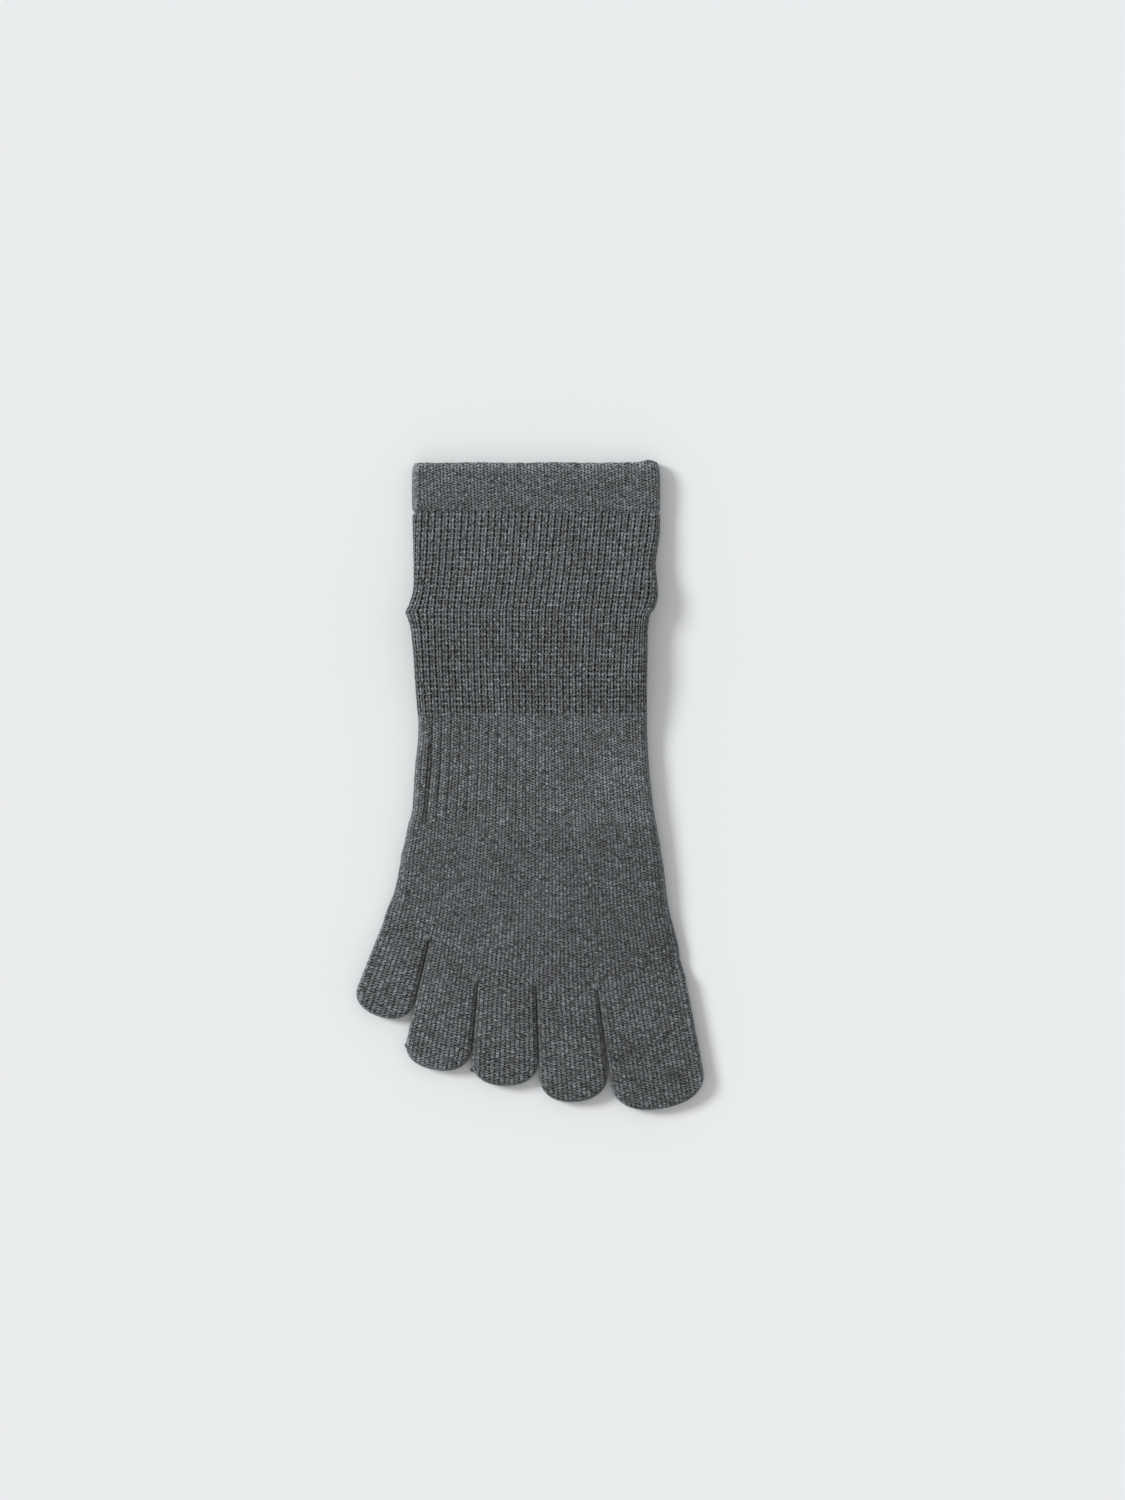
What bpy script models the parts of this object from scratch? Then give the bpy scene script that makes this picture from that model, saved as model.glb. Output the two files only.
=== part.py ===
"""Five-toe ankle sock for a right foot, knitted in one grey melange yarn and lying flat.

The instep faces up and the heel pocket is folded flat under the sole. Lengths are in metres,
+Z is up, the cuff points to +Y and the toes to -Y. The origin is the middle of the footprint,
on the surface that the sock lies on.

Every piece is a flattened, hollow knitted tube: a loft through outer rings and inner rings,
one fabric thickness apart. Distances "down" run from the cuff's mouth towards the toes.
"""

import math
from collections import namedtuple

import bmesh
import bpy
from mathutils import Vector

# Flat sizes of the tube
CUFF_WIDTH = 0.0953
WELT_LENGTH = 0.0181
LEG_LENGTH = 0.0384
INSTEP_LENGTH = 0.0400
ARCH_LENGTH = 0.0407
FOREFOOT_LENGTH = 0.0384

# Where the toes start: the line through their roots runs from the little toe's outer side
# to the big toe's, and sags towards the toes in between
ROOT_SPAN = 0.1164
ROOT_LEFT = 0.0588
ROOT_SAG = 0.0273

# Fabric thicknesses
WELT_WALL = 0.0020
RIB_WALL = 0.0015
PLAIN_WALL = 0.0013

# The upright ribs of the arch band
RIB_PITCH = 0.0036
RIB_DEPTH = 0.0003

# Room inside the flattened tube, between its upper and its lower fabric
WELT_ROOM = 0.0046
BODY_ROOM = 0.0051
TOE_ROOM = 0.0034
CROWN = 0.0006

# The heel pocket, a short-row cup folded flat under the sole
HEEL_DEPTH = 0.0280
HEEL_TIP_WIDTH = 0.0380
HEEL_ROOM = 0.0005
HEEL_EAR = 0.0012
SOLE_FALL = 0.0110

# Clearances: between neighbouring pieces, and between two toes at their crotch
PIECE_GAP = 0.0003
TOE_GAP = 0.0008

# Fineness of the rings
ROLL_STEPS = 3
BODY_FLAT_STEPS = 6
TOE_FLAT_STEPS = 3
RIM_TURNS = (45, 90, 135)
HEEL_STEPS = (1.0, 0.98, 0.94, 0.7, 0.35, 0.0)

# Outline of the tube, zone by zone. down is a share of the zone's length, left and right are
# shares of half the cuff's width, and rise is the share of the folded heel under the top fabric.
Row = namedtuple("Row", "down left right rise")
WELT_ROWS = (
    Row(0.00, 0.990, 0.980, 0.00),
    Row(0.15, 1.000, 0.993, 0.00),
    Row(0.60, 1.004, 1.000, 0.00),
    Row(1.00, 1.000, 1.000, 0.00),
)
LEG_ROWS = (
    Row(0.00, 0.990, 0.996, 0.00),
    Row(0.25, 0.985, 0.992, 0.05),
    Row(0.42, 0.984, 0.970, 0.20),
    Row(0.55, 0.984, 0.962, 0.40),
    Row(0.74, 0.986, 0.986, 0.75),
    Row(0.87, 1.006, 0.983, 0.92),
    Row(0.93, 1.020, 0.974, 0.97),
    Row(1.00, 1.030, 0.936, 1.00),
)
INSTEP_ROWS = (
    Row(0.00, 1.026, 0.926, 1.00),
    Row(0.09, 1.014, 0.905, 1.00),
    Row(0.22, 1.003, 0.898, 1.00),
    Row(0.45, 0.985, 0.894, 1.00),
    Row(0.70, 0.972, 0.890, 1.00),
    Row(0.80, 0.960, 0.891, 1.00),
    Row(0.90, 0.952, 0.892, 1.00),
    Row(1.00, 0.947, 0.895, 1.00),
)
ARCH_ROWS = (
    Row(0.00, 0.947, 0.895, 1.00),
    Row(0.30, 0.960, 0.903, 1.00),
    Row(0.60, 0.979, 0.924, 1.00),
    Row(0.92, 0.999, 0.954, 1.00),
    Row(1.00, 1.022, 0.970, 1.00),
)

# The sides of the forefoot: how far they bow out from a straight line, as shares of half the
# cuff's width
Bow = namedtuple("Bow", "down left right")
FOREFOOT_ROWS = (
    Bow(0.00, 0.000, 0.000),
    Bow(0.25, 0.000, -0.009),
    Bow(0.50, -0.015, -0.034),
    Bow(0.72, -0.014, -0.022),
    Bow(0.88, -0.014, -0.015),
    Bow(1.00, 0.000, 0.000),
)

# Toe roots from left to right. across is a share of ROOT_SPAN and sag of ROOT_SAG. The leans are
# the angles, in degrees from -Y towards +X, of the toe sides that leave the root to its left and right.
Root = namedtuple("Root", "across sag lean_left lean_right")
ROOTS = (
    Root(0.000, 0.00, -21.6, -21.6),
    Root(0.150, 0.30, -13.9, -12.8),
    Root(0.312, 0.88, -5.3, -4.6),
    Root(0.506, 1.00, 1.6, 2.2),
    Root(0.710, 1.01, 6.8, 8.4),
    Root(1.000, 0.80, 10.8, 10.8),
)

# The toes, from left to right: from the root to the tip, and the rounded end of that, both as
# shares of the big toe's length
BIG_TOE_LENGTH = 0.0473
Toe = namedtuple("Toe", "name reach tip")
TOES = (
    Toe("little_toe", 0.708, 0.180),
    Toe("fourth_toe", 0.867, 0.201),
    Toe("third_toe", 0.782, 0.211),
    Toe("second_toe", 0.877, 0.222),
    Toe("big_toe", 1.000, 0.254),
)
SIDE_STEPS = (1.0, 0.66, 0.33, 0.0)
TIP_STEPS = (0.3, 0.55, 0.75, 0.9, 0.98)
TIP_SQUARENESS = 2.3
# How far the two fabrics close at the end of a pocket, as a share of its half height
TIP_CLOSING = 0.8

# Where the forefoot starts to thin out towards the toes, as a share of its length. Then the
# valleys that run up it from the crotches: where they start, and the share of the full height
# that is left of the outside and of the room inside
THINNING_START = 0.4
VALLEY_START = 0.62
VALLEY_RISE = 0.42
VALLEY_ROOM = 0.11

YARN_GREY = (0.093, 0.098, 0.102, 1.0)
YARN_ROUGHNESS = 0.9

# Worked out from the sizes above
HALF_CUFF = CUFF_WIDTH / 2
HEEL_STACK = 2 * PLAIN_WALL + HEEL_ROOM + PIECE_GAP
HEEL_LINE = WELT_LENGTH + LEG_LENGTH
ARCH_START = HEEL_LINE + INSTEP_LENGTH
FOREFOOT_START = ARCH_START + ARCH_LENGTH
ARCH_RIBS = round(CUFF_WIDTH / RIB_PITCH)


def smooth_step(share):
    share = min(max(share, 0.0), 1.0)
    return share * share * (3 - 2 * share)


def sole_height(down):
    """Height of the sole's underside: on the folded heel pocket, then falling to the floor."""
    if down < HEEL_LINE:
        return 0.0
    past_pocket = down - HEEL_LINE - HEEL_DEPTH - PIECE_GAP
    return HEEL_STACK * (1 - smooth_step(past_pocket / SOLE_FALL))


def roll(distance, radius):
    """Share of the half height at this distance in from a rolled edge."""
    inward = min(distance / radius, 1.0)
    return math.sqrt(1 - (1 - inward) ** 2)


def edge_steps(width, radius, flat_steps):
    """Distances from the left edge for one sheet: close together in the rolls, even in between."""
    angles = [math.pi / 2 * k / ROLL_STEPS for k in range(ROLL_STEPS)]
    left = [radius * (1 - math.cos(a)) for a in angles]
    flat = [radius + (width - 2 * radius) * k / flat_steps for k in range(flat_steps + 1)]
    return left + flat + [width - d for d in reversed(left)]


def ring(left, right, low, high, inset, flat_steps, crown=0.0, groove=0.0):
    """A flattened ring between two points of the plan, over the top and back under the bottom.

    inset moves the ring into the fabric, from 0 on the outside to the wall's thickness inside.
    groove presses every second point of the flat stretches in, which leaves ribs between them.
    """
    middle = (low + high) / 2
    width = (right - left).length
    radius = (high - low) / 2
    inner_radius = radius - inset
    upper, lower = [], []
    inner_width = width - 2 * inset
    for i, d in enumerate(edge_steps(inner_width, inner_radius, flat_steps)):
        share = (d + inset) / width
        up = roll(min(d, inner_width - d), inner_radius)
        plan = left.lerp(right, share)
        dome = crown * up * (1 - (2 * share - 1) ** 2)
        on_flat = ROLL_STEPS < i < ROLL_STEPS + flat_steps
        press = groove if on_flat and (i - ROLL_STEPS) % 2 else 0.0
        upper.append(Vector((plan.x, plan.y, middle + inner_radius * up + dome - press)))
        lower.append(Vector((plan.x, plan.y, middle - inner_radius * up + press)))
    return upper + lower[-2:0:-1]


def make_object(name, rings, poles=()):
    """A closed solid through the rings: a loop of them, or a run that ends in two poles."""
    shape = bmesh.new()
    loops = [[shape.verts.new(p) for p in points] for points in rings]
    pairs = list(zip(loops, loops[1:]))
    if not poles:
        pairs.append((loops[-1], loops[0]))
    for first, second in pairs:
        for i in range(len(first)):
            j = (i + 1) % len(first)
            shape.faces.new((first[i], first[j], second[j], second[i]))
    for pole, loop in zip(poles, (loops[0], loops[-1])):
        centre = shape.verts.new(pole)
        for i, corner in enumerate(loop):
            shape.faces.new((centre, corner, loop[(i + 1) % len(loop)]))
    bmesh.ops.recalc_face_normals(shape, faces=shape.faces)
    mesh = bpy.data.meshes.new(name)
    shape.to_mesh(mesh)
    shape.free()
    mesh.shade_smooth()
    mesh.set_sharp_from_angle(angle=math.radians(40))
    mesh.materials.append(yarn(name))
    made = bpy.data.objects.new(name, mesh)
    sock.objects.link(made)
    return made


def yarn(name):
    """The grey melange yarn of one piece."""
    material = bpy.data.materials.new(name)
    material.use_nodes = True
    shader = material.node_tree.nodes["Principled BSDF"]
    shader.inputs["Base Color"].default_value = YARN_GREY
    shader.inputs["Roughness"].default_value = YARN_ROUGHNESS
    shader.inputs["Metallic"].default_value = 0.0
    return material


def tube_ring(start, length, row, wall, room, inset, shift=0.0, ribs=0):
    """One ring of the straight tube at a row of its zone's table. shift moves it along the tube."""
    down = start + row.down * length + shift
    low = sole_height(down)
    lift = HEEL_STACK if down < HEEL_LINE else low
    high = lift * row.rise + room + 2 * wall
    left = Vector((-HALF_CUFF * row.left, -down))
    right = Vector((HALF_CUFF * row.right, -down))
    steps = 2 * ribs or BODY_FLAT_STEPS
    groove = RIB_DEPTH if ribs and inset == 0.0 else 0.0
    return ring(left, right, low, high, inset, steps, CROWN, groove)


def tube(name, start, length, rows, wall, room, rim=False, ribs=0):
    """A zone of the tube, open at both ends. A rim rounds its upper end, as a folded welt does."""
    # The ends stand half a gap inside the zone, so that neighbours keep a whole gap
    ends = {rows[0]: PIECE_GAP / 2, rows[-1]: -PIECE_GAP / 2}
    outer, inner = (
        [tube_ring(start, length, row, wall, room, inset, ends.get(row, 0.0), ribs) for row in rows]
        for inset in (0.0, wall)
    )
    over = []
    if rim:
        # Half a turn over the fold, from the outside to the inside
        fold = wall / 2
        for turn in map(math.radians, RIM_TURNS):
            inset, shift = fold * (1 - math.cos(turn)), -fold * math.sin(turn)
            over.append(tube_ring(start, length, rows[0], wall, room, inset, shift))
    return make_object(name, outer[::-1] + over + inner)


def heel_pocket():
    """The heel cup pressed flat: a wide mouth under the heel line, and a short fold at its tip."""
    mouth_left = Vector((-HALF_CUFF * LEG_ROWS[-1].left - HEEL_EAR, -HEEL_LINE - PIECE_GAP / 2))
    mouth_right = Vector((HALF_CUFF * LEG_ROWS[-1].right, -HEEL_LINE - PIECE_GAP / 2))
    middle = (mouth_left.x + mouth_right.x) / 2
    tip_left = Vector((middle - HEEL_TIP_WIDTH / 2, -HEEL_LINE - HEEL_DEPTH))
    tip_right = Vector((middle + HEEL_TIP_WIDTH / 2, -HEEL_LINE - HEEL_DEPTH))
    high = 2 * PLAIN_WALL + HEEL_ROOM
    radius = high / 2

    def pocket_ring(share, depth, inset):
        """A ring at a share of the depth that this surface has."""
        down = share * depth / HEEL_DEPTH
        squeeze = radius * (1 - roll((1 - share) * depth, radius)) * TIP_CLOSING
        left, right = mouth_left.lerp(tip_left, down), mouth_right.lerp(tip_right, down)
        thin = (radius - inset) / radius * squeeze
        return ring(left, right, thin, high - thin, inset, BODY_FLAT_STEPS)

    outer = [pocket_ring(s, HEEL_DEPTH, 0.0) for s in HEEL_STEPS]
    inner = [pocket_ring(s, HEEL_DEPTH - PLAIN_WALL, PLAIN_WALL) for s in HEEL_STEPS]
    ends = [sum(loop, Vector()) / len(loop) for loop in (outer[0], inner[0])]
    return make_object("heel_pocket", outer + inner[::-1], ends)


def root_point(index):
    root = ROOTS[index]
    down = FOREFOOT_START + FOREFOOT_LENGTH + root.sag * ROOT_SAG
    return Vector((-ROOT_LEFT + root.across * ROOT_SPAN, -down))


def forefoot():
    """The plain tube that spreads from the arch band to the line of the toe roots."""
    count = len(TOES)
    roots = [root_point(i) for i in range(count + 1)]
    top_left = Vector((-HALF_CUFF * ARCH_ROWS[-1].left, -FOREFOOT_START))
    top_right = Vector((HALF_CUFF * ARCH_ROWS[-1].right, -FOREFOOT_START))
    thick = BODY_ROOM + 2 * PLAIN_WALL
    toe_thick = TOE_ROOM + 2 * PLAIN_WALL

    def plan(row, lobe, share):
        """The point at this share of a toe's width, at a row between the arch band and the roots."""
        end = roots[lobe].lerp(roots[lobe + 1], share)
        # Even wales at the arch band, gathered towards each toe's share at its root
        spread = (end.x - roots[0].x) / (roots[-1].x - roots[0].x)
        start = top_left.lerp(top_right, spread)
        place = start.lerp(end, row.down)
        place.x += HALF_CUFF * (row.right * spread - row.left * (1 - spread))
        # Half a gap inside the zone at both of its ends
        place.y += PIECE_GAP * (row.down - 0.5)
        return place

    def forefoot_ring(row, inset):
        """Upper points left to right over the five lobes, then the lower ones back."""
        valley = smooth_step((row.down - VALLEY_START) / (1 - VALLEY_START))
        thinning = smooth_step((row.down - THINNING_START) / (1 - THINNING_START))
        high = thick + (toe_thick - thick) * thinning
        half = high / 2
        full = plan(row, 0, 0.0), plan(row, count - 1, 1.0)
        full_width = (full[1] - full[0]).length
        upper, lower = [], []
        for lobe in range(count):
            width = (roots[lobe + 1] - roots[lobe]).length
            inward = inset / (plan(row, lobe, 1.0) - plan(row, lobe, 0.0)).length
            steps = edge_steps(width, half, TOE_FLAT_STEPS)
            for d in steps if lobe == 0 else steps[1:]:
                # The outer sides move in by the inset, and the crotches stay
                share = d / width
                if lobe == 0:
                    share = inward + (1 - inward) * share
                if lobe == count - 1:
                    share = share * (1 - inward)
                place = plan(row, lobe, share)
                side = min((place - full[0]).length, (full[1] - place).length) - inset
                smooth = roll(max(side, 0.0), half - inset)
                # The fabrics draw together between two toes, but the wall keeps its thickness
                least = VALLEY_RISE if inset == 0.0 else VALLEY_ROOM
                lobed = least + (1 - least) * roll(min(d, width - d), half)
                if (lobe == 0 and d < width / 2) or (lobe == count - 1 and d > width / 2):
                    lobed = smooth
                up = smooth + (min(lobed, smooth) - smooth) * valley
                dome = CROWN * up * (1 - valley) * (1 - (2 * side / full_width - 1) ** 2)
                upper.append(Vector((place.x, place.y, half + (half - inset) * up + dome)))
                lower.append(Vector((place.x, place.y, half - (half - inset) * up)))
        return upper + lower[-2:0:-1]

    outer = [forefoot_ring(row, 0.0) for row in FOREFOOT_ROWS]
    inner = [forefoot_ring(row, PLAIN_WALL) for row in FOREFOOT_ROWS]
    return make_object("forefoot", outer[::-1] + inner)


def toe(index):
    """A toe pocket: a flattened tube that leaves its root line and ends in a rounded tip."""
    name = TOES[index].name
    reach = TOES[index].reach * BIG_TOE_LENGTH
    tip = TOES[index].tip * BIG_TOE_LENGTH
    lean_left, lean_right = ROOTS[index].lean_right, ROOTS[index + 1].lean_left
    heading = direction((lean_left + lean_right) / 2)
    side = Vector((-heading.y, heading.x))
    left_root = root_point(index) + heading * PIECE_GAP / 2
    right_root = root_point(index + 1) + heading * PIECE_GAP / 2
    if index > 0:
        left_root += side * TOE_GAP / 2
    if index < len(TOES) - 1:
        right_root -= side * TOE_GAP / 2
    middle = (left_root + right_root) / 2
    straight = reach - tip
    # Where the sides meet the square line that the rounded end starts from
    left_end = side_end(left_root, lean_left, middle, heading, straight)
    right_end = side_end(right_root, lean_right, middle, heading, straight)
    high = TOE_ROOM + 2 * PLAIN_WALL
    radius = high / 2

    def side_ring(share, inset):
        left, right = left_root.lerp(left_end, share), right_root.lerp(right_end, share)
        return ring(left, right, 0.0, high, inset, TOE_FLAT_STEPS)

    def tip_ring(share, inset):
        length = tip - inset
        narrow = (1 - share**TIP_SQUARENESS) ** (1 / TIP_SQUARENESS)
        centre = (left_end + right_end) / 2 + heading * share * length
        half = ((right_end - left_end).length / 2 - inset) * narrow + inset
        flat = roll((1 - share) * length, radius - inset)
        thin = (radius - inset) * (1 - flat)
        # The last rings get too narrow for the full roll, so they keep room for a flat middle
        thin = max(thin, radius - inset - TIP_CLOSING * (half - inset))
        return ring(centre - side * half, centre + side * half, thin, high - thin, inset, TOE_FLAT_STEPS)

    def surface(inset):
        rings = [tip_ring(s, inset) for s in reversed(TIP_STEPS)]
        return rings + [side_ring(s, inset) for s in SIDE_STEPS]

    ends = (left_end + right_end) / 2
    poles = [ends + heading * (tip - inset) for inset in (0.0, PLAIN_WALL)]
    poles = [Vector((p.x, p.y, radius)) for p in poles]
    return make_object(name, surface(0.0) + surface(PLAIN_WALL)[::-1], poles)


def direction(lean):
    """The unit vector of the plan that leans this many degrees from -Y towards +X."""
    return Vector((math.sin(math.radians(lean)), -math.cos(math.radians(lean))))


def side_end(start, lean, middle, heading, straight):
    """Where a side that leaves start at this lean crosses the square line of the toe's end."""
    along = direction(lean)
    distance = (straight - (start - middle).dot(heading)) / along.dot(heading)
    return start + along * distance


def centre_on_origin(objects):
    """Moves the meshes so that the footprint's middle is the origin."""
    corners = [v.co for made in objects for v in made.data.vertices]
    middle = Vector()
    for axis in (0, 1):
        values = [corner[axis] for corner in corners]
        middle[axis] = (min(values) + max(values)) / 2
    for made in objects:
        for vertex in made.data.vertices:
            vertex.co -= middle


for old in list(bpy.data.objects):
    bpy.data.objects.remove(old)
sock = bpy.data.collections.new("five_toe_ankle_sock")
bpy.context.scene.collection.children.link(sock)

pieces = [
    tube("cuff_welt", 0.0, WELT_LENGTH, WELT_ROWS, WELT_WALL, WELT_ROOM, rim=True),
    tube("leg_tube", WELT_LENGTH, LEG_LENGTH, LEG_ROWS, RIB_WALL, BODY_ROOM),
    heel_pocket(),
    tube("instep_tube", HEEL_LINE, INSTEP_LENGTH, INSTEP_ROWS, RIB_WALL, BODY_ROOM),
    tube("arch_band", ARCH_START, ARCH_LENGTH, ARCH_ROWS, RIB_WALL, BODY_ROOM, ribs=ARCH_RIBS),
    forefoot(),
]
pieces += [toe(i) for i in range(len(TOES))]
centre_on_origin(pieces)
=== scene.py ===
import math
from collections import namedtuple

import bpy
import numpy as np
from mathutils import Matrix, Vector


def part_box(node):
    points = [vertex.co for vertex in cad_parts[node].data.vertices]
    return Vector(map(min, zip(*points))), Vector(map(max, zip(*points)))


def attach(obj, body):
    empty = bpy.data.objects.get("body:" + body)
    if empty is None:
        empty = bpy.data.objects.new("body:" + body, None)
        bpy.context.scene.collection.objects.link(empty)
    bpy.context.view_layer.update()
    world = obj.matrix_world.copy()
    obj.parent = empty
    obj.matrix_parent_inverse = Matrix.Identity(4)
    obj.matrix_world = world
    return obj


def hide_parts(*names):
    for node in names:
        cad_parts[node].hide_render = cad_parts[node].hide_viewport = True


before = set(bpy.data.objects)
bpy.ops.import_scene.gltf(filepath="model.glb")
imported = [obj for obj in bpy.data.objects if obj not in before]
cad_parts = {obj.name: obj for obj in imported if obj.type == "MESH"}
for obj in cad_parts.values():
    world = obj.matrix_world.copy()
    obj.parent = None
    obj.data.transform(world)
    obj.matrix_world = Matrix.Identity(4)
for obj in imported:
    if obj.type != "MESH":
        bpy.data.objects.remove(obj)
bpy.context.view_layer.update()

# A right foot's five-toe ankle sock, knitted in one grey melange yarn and lying flat, instep up.
# Each piece is a zone of the knitting. Lengths are in metres, and "down" runs from the cuff's
# mouth towards the toes.

# Cuff welt: the band at the leg's mouth, plain knit turned over on itself at the rim, so it is
# two fabrics thick. Its last course is joined to the leg and sinks in as a thin dark line.
WELT_WALL = 0.0020
WELT_LENGTH = 0.0181
WELT_HALF_HEIGHT = 0.0043
WELT_HALF_WIDTH = 0.0475
ROLL_WIDTH = 0.0030
INNER_ROLL = 0.6  # the inner fabric's roll is narrower by this share of the wall
BUMP_REACH = 0.0045
CROWN = 0.0006
CORNER_ROUNDING = 0.0028
COURSE = 0.00102
WALES = 78
STEPS_PER_WALE = 4
ROUND = 2 * WALES * STEPS_PER_WALE
WALE_DEPTH = 0.00004
PIN_DEPTH = 0.00007
UNEVENNESS = 0.00006
SEAM_DEPTH = 0.00075
SEAM_WIDTH = 0.0006
WELT_LEAN = 0.6
RIM_HUMP = 0.0010
HUMP_AT, HUMP_WIDTH = 0.0437, 0.0032
RIM_REACH = 0.009
RIM_WAVE, RIM_RIPPLE = 0.00010, 0.00008
WAVE_LENGTH, RIPPLE_LENGTH = 0.0047, 0.0011
INSIDE_START = 0.0003
MOUTH_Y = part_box("cuff_welt")[1].y - WELT_WALL / 2
MIDDLE_X = (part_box("cuff_welt")[0].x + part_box("cuff_welt")[1].x) / 2

# The smooth run of the sock's sides, which the wales follow: how far each is from the middle
Sides = namedtuple("Sides", "down left right")
RUN = (
    Sides(0.0000, 0.0474, 0.0476),
    Sides(0.0180, 0.0473, 0.0474),
    Sides(0.0390, 0.0469, 0.0464),
    Sides(0.0565, 0.0474, 0.0449),
    Sides(0.0790, 0.0464, 0.0431),
    Sides(0.0965, 0.0453, 0.0428),
    Sides(0.1165, 0.0462, 0.0437),
    Sides(0.1372, 0.0485, 0.0459),
)
# The flat outline down the tube: to the left and right of the middle, and the top's height
Edge = namedtuple("Edge", "down left right high")
WELT_EDGES = (
    Edge(0.0000, 0.0469, 0.0471, 0.0070),
    Edge(0.0012, 0.0474, 0.0476, 0.0078),
    Edge(0.0028, 0.0475, 0.0477, 0.0084),
    Edge(0.0045, 0.0475, 0.0477, 0.0086),
    Edge(0.0110, 0.0476, 0.0478, 0.0086),
    Edge(0.0168, 0.0475, 0.0477, 0.0085),
    Edge(0.0181, 0.0473, 0.0476, 0.0081),
)


class Wire:
    """An output of a node, so that a material's maths reads as Python's."""

    def __init__(self, tree, socket=None):
        self.tree, self.socket = tree, socket

    def add(self, kind, settings, sockets, output=0):
        """Any node: its settings first, then the values or links of its sockets."""
        node = self.tree.nodes.new("ShaderNode" + kind)
        for name, value in settings.items():
            setattr(node, name, value)
        for name, value in sockets.items():
            if isinstance(value, Wire):
                self.tree.links.new(value.socket, node.inputs[name])
            else:
                node.inputs[name].default_value = value
        return Wire(self.tree, node.outputs[output])

    def math(self, operation, *values):
        return self.add("Math", {"operation": operation}, dict(enumerate(values)))

    def __add__(self, other):
        return self.math("ADD", self, other)

    def __sub__(self, other):
        return self.math("SUBTRACT", self, other)

    def __rsub__(self, other):
        return self.math("SUBTRACT", other, self)

    def __mul__(self, other):
        return self.math("MULTIPLY", self, other)

    def __truediv__(self, other):
        return self.math("DIVIDE", self, other)

    def __rpow__(self, other):
        return self.math("POWER", other, self)

    def __abs__(self):
        return self.math("ABSOLUTE", self)

    __radd__ = __add__
    __rmul__ = __mul__

    def axis(self, name):
        """One part of a vector or colour."""
        return self.add("SeparateXYZ", {}, {"Vector": self}, name)

    def whole(self):
        return self.math("FLOOR", self)

    def past_whole(self):
        return self.math("FRACT", self)

    def off_whole(self):
        """Distance to the nearest whole number."""
        return abs((self + 0.5).past_whole() - 0.5)

    def fade(self, full, none):
        """1 at full, running smoothly to 0 at none."""
        return self.add(
            "MapRange",
            {"interpolation_type": "SMOOTHSTEP"},
            {"Value": self, "From Min": full, "From Max": none, "To Min": 1.0, "To Max": 0.0},
        )

    def noise(self, scale, detail, output=0, dimensions="3D"):
        """Cloudy noise over a place."""
        sockets = {"Vector": self, "Scale": scale, "Detail": detail}
        return self.add("TexNoise", {"noise_dimensions": dimensions}, sockets, output)

    def chance(self, other):
        """A random share for each whole step of two counts."""
        cell = self.add("CombineXYZ", {}, {"X": self.whole(), "Y": other.whole()})
        return self.add("TexWhiteNoise", {"noise_dimensions": "2D"}, {"Vector": cell})


LEG_SLANT = 0.28
LEG_MIDDLE = 0.42


def legs(wale, stitch):
    """Each stitch's two legs spread from the wale's middle to its borders: the way across them, and
    how round they stand up."""
    side = (wale + 0.5).past_whole() - 0.5
    along = (stitch + 0.5).past_whole()
    spread = abs(side) + along * LEG_SLANT
    across = wale + side.math("SIGN", side) * along * LEG_SLANT
    leg = abs(spread - LEG_MIDDLE).fade(0.04, 0.30)
    return across, leg * (1 - along.off_whole().fade(0.0, 0.22) * 0.6)


# Painted highlight along each stitch's round legs, and painted shade in its pinholes
LEG_HIGHLIGHT = 0.4
PIN_SHADE = 7.5


def plain_stitches(wale, course, pin_width=0.34, pull=1.0):
    """Plain knit: wales of V stitches, with a pinhole at every stitch of their borders. Gives height,
    tone, with painted shade in the pinholes and a painted highlight along each leg's crown, and the
    way across and along the yarn. A wale pulled wide keeps small holes."""
    border = wale.off_whole()
    stitch = course + (wale + 0.5).whole() * 0.5
    pin = stitch.off_whole().fade(0.04, 0.31) * (border * pull).fade(0.04, pin_width)
    pin = pin * (0.8 + (wale + 0.5).chance(stitch + 0.5) * 0.4)
    across, leg = legs(wale, stitch)
    height = 0.8 - pin * 0.7 + leg * 0.3
    tone = LEG_HIGHLIGHT * leg - pin * PIN_SHADE
    return height, tone, across, course


YARN_TINT = (0.0950, 0.0998, 0.1035)
STRANDS_ACROSS, STRANDS_ALONG = 6.0, 3.6  # fibres seen in a wale and in a course
# How much each makes the yarn lighter and darker, in powers of two
STITCH_CONTRAST = 0.2
FIBRE_CONTRAST = 1.5
SPECK_CONTRAST = 3.8
MOTTLE_CONTRAST = 0.7
DARKEST, LIGHTEST = 0.04, 5.0
YARN_FINISH = {
    "Roughness": 0.95,
    "Specular IOR Level": 0.15,
    "Sheen Weight": 0.35,
    "Sheen Roughness": 0.4,
    "Sheen Tint": (0.62, 0.64, 0.66, 1.0),
}


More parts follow.
